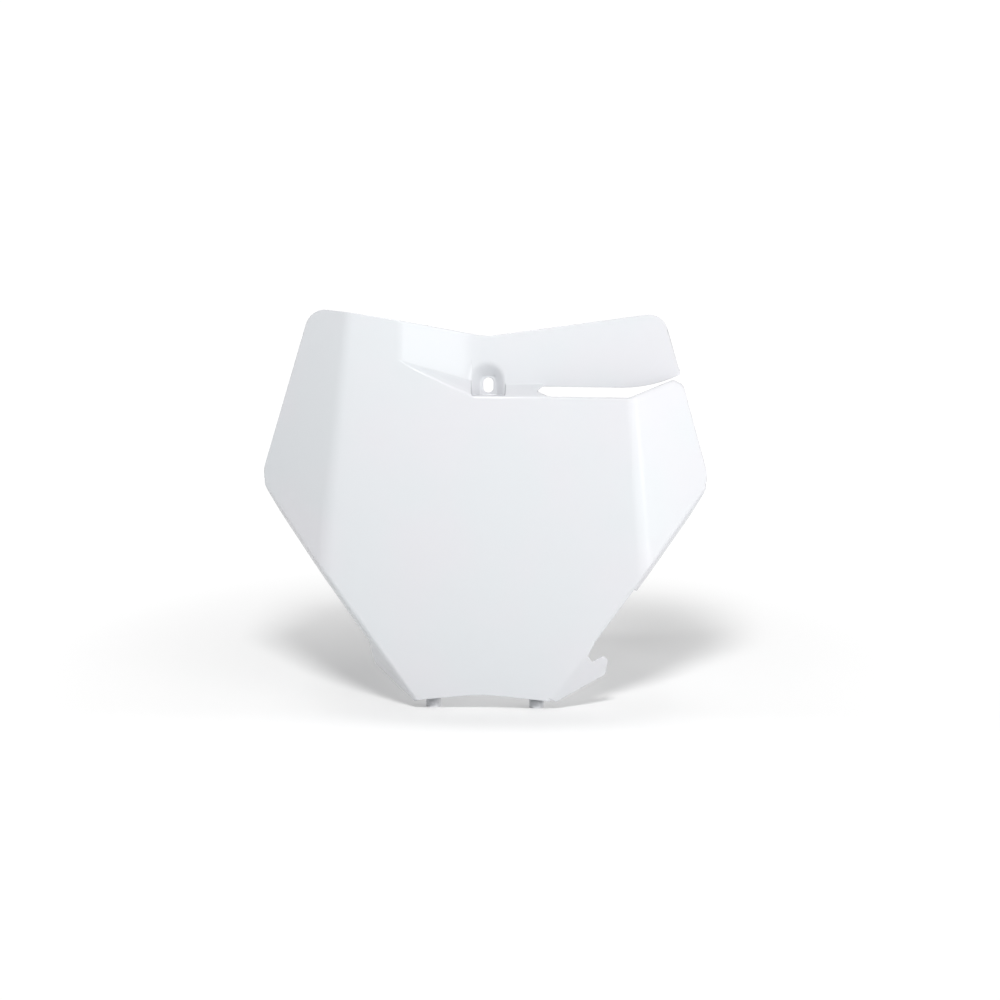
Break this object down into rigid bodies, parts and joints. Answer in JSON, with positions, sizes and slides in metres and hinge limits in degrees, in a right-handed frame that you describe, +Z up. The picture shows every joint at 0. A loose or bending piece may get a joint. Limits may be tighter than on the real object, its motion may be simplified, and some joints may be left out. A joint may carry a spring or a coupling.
{
  "type": "racing number board",
  "caption": "Racing number board: a crowned face with swept-back wings, a recessed strip with a slotted screw seat, a hose slot, a hose hook and locating pegs.",
  "frame": {"origin": "centre of the slotted screw hole, on the front face of the screw seat", "axes": "+X to the viewer's right when the board is seen from the front, +Y back towards the motorcycle, +Z up; the face looks to -Y"},
  "size_m": [0.2604, 0.0333, 0.2312],
  "materials": {
    "board_plastic": "smooth glossy white moulded plastic"
  },
  "bodies": {
    "root": {"number_board": "board_plastic"}
  },
  "joints": []
}
